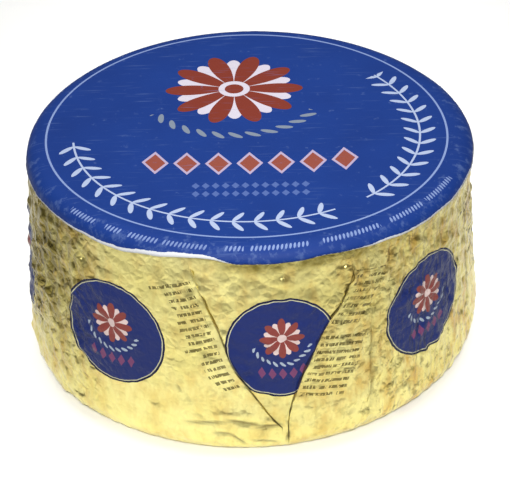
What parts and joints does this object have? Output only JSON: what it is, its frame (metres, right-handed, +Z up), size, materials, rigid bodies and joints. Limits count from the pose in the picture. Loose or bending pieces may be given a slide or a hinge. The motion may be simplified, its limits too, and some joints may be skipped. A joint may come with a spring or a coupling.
{
  "type": "foil-wrapped blue cheese wheel",
  "caption": "Whole round wheel of blue cheese, shut in gold foil with folded corners, with a round blue label pressed over its top, standing flat.",
  "frame": {"origin": "middle of the footprint of the wheel, on the surface it stands on", "axes": "+Z up through the wheel's height, -Y towards the corner fold that the picture shows in front, +X to the right as seen from there"},
  "size_m": [0.2042, 0.2048, 0.1025],
  "materials": {
    "gold_foil": "gold-lacquered household-weight foil, crinkled, satin shine",
    "printed_label": "coated paper printed deep blue, slight sheen"
  },
  "bodies": {
    "root": {"foil_wheel": "gold_foil", "top_label": "printed_label"}
  },
  "joints": []
}
